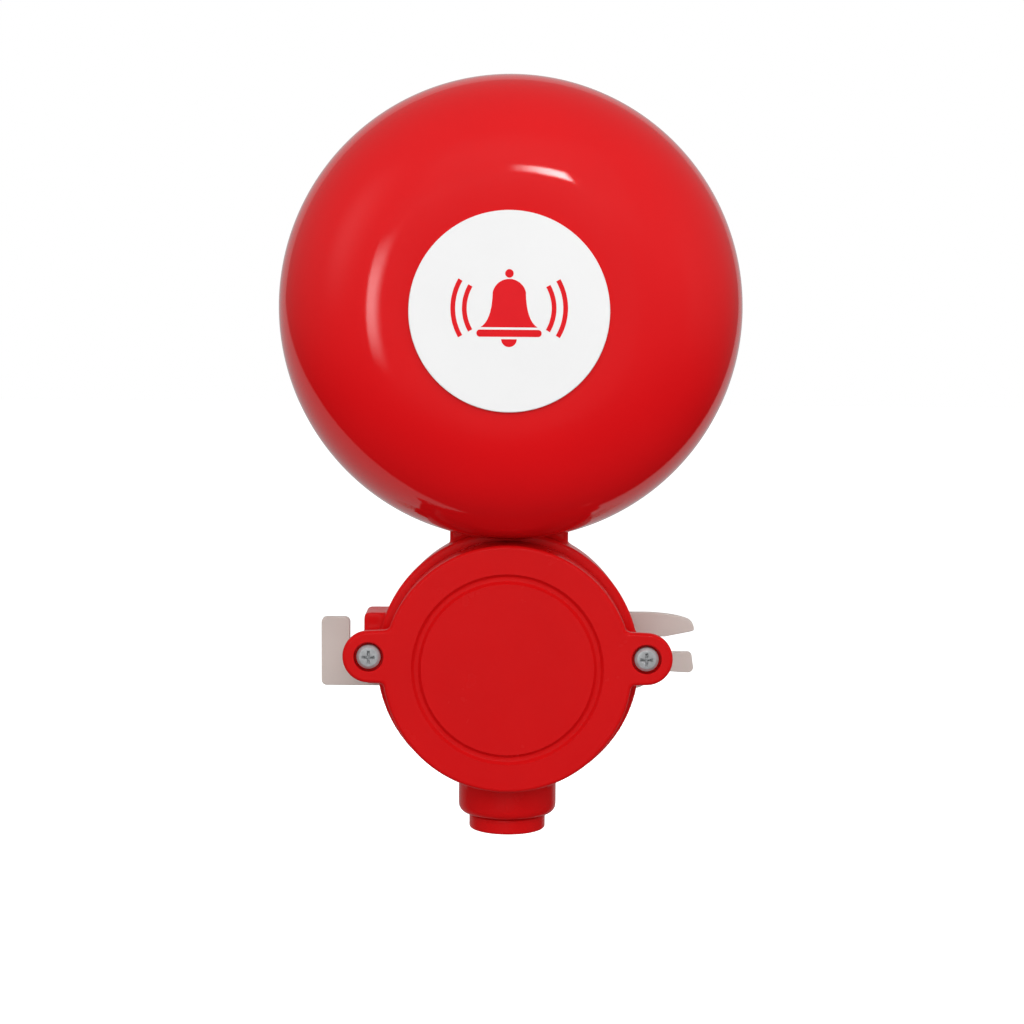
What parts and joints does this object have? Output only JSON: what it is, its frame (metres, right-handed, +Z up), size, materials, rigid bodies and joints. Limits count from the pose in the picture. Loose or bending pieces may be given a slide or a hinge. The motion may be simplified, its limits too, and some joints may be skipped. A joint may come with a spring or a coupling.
{
  "type": "fire alarm bell",
  "caption": "Wall-mounted electric alarm bell: round gong over a sealed striker chamber, with a round screwed junction box, a conduit hub and a hook-on wall bracket.",
  "frame": {"origin": "the point where the gong's axis meets the wall, at the centre of the rear cover's outer face", "axes": "+Z up, +Y into the wall along the gong's axis, +X to the right for a person facing the bell; the gong's front faces -Y"},
  "size_m": [0.15, 0.0674, 0.2489],
  "materials": {
    "gong_paint": "high gloss red stoving enamel",
    "casting_paint": "satin gloss red powder coat",
    "bracket_coat": "satin warm light grey coat",
    "label_white": "smooth satin white",
    "zinc_plate": "bright zinc plate",
    "soft_iron": "dull plated iron",
    "brass": "turned brass",
    "copper_wire": "enamelled copper winding",
    "rubber": "matt black rubber",
    "nylon": "natural nylon",
    "black_plastic": "matt black moulding",
    "circuit_board": "green solder mask",
    "red_insulation": "smooth red insulation",
    "black_insulation": "smooth black insulation"
  },
  "bodies": {
    "base": {"gong": "gong_paint", "housing_casting": "casting_paint", "gland_nut": "casting_paint", "mounting_bracket": "bracket_coat", "label_disc": "label_white", "bracket_screw_left": "zinc_plate", "bracket_screw_right": "zinc_plate", "rear_cover": "zinc_plate", "rear_screw_1": "zinc_plate", "rear_screw_2": "zinc_plate", "rear_screw_3": "zinc_plate", "rear_screw_4": "zinc_plate", "yoke_screw_left": "zinc_plate", "yoke_screw_right": "zinc_plate", "return_spring": "zinc_plate", "board_screw_left": "zinc_plate", "board_screw_right": "zinc_plate", "gong_post": "zinc_plate", "gong_washer": "zinc_plate", "gong_nut": "zinc_plate", "block_screw_left": "zinc_plate", "block_screw_right": "zinc_plate", "gland_washer": "zinc_plate", "solenoid_yoke": "soft_iron", "pole_core": "soft_iron", "guide_bush": "brass", "terminal_screw_1": "brass", "terminal_screw_2": "brass", "terminal_screw_3": "brass", "earth_screw": "brass", "earth_washer": "brass", "coil_winding": "copper_wire", "rear_gasket": "rubber", "bush_seal": "rubber", "cover_gasket": "rubber", "gland_seal": "rubber", "coil_bobbin": "nylon", "capacitor": "nylon", "terminal_block": "black_plastic", "diode": "black_plastic", "suppressor_board": "circuit_board", "line_lead_left": "red_insulation", "coil_lead_left": "red_insulation", "coil_lead_right": "red_insulation", "line_lead_right": "black_insulation"},
    "striker": {"plunger": "soft_iron", "striker_rod": "zinc_plate", "spring_collar": "zinc_plate", "striker_tip": "nylon"},
    "cover": {"junction_cover": "casting_paint", "cover_screw_left": "zinc_plate", "cover_screw_right": "zinc_plate"}
  },
  "joints": [
    {"name": "striker_slide", "type": "slide", "parent": "base", "child": "striker", "axis": [0, 0, 1], "range_m": [0, 0.004], "stiffness_N_per_m": 60, "springref_m": -0.01, "deforming": ["return_spring"]},
    {"name": "cover_lift", "type": "slide", "parent": "base", "child": "cover", "axis": [0, -1, 0], "range_m": [0, 0.03]}
  ]
}
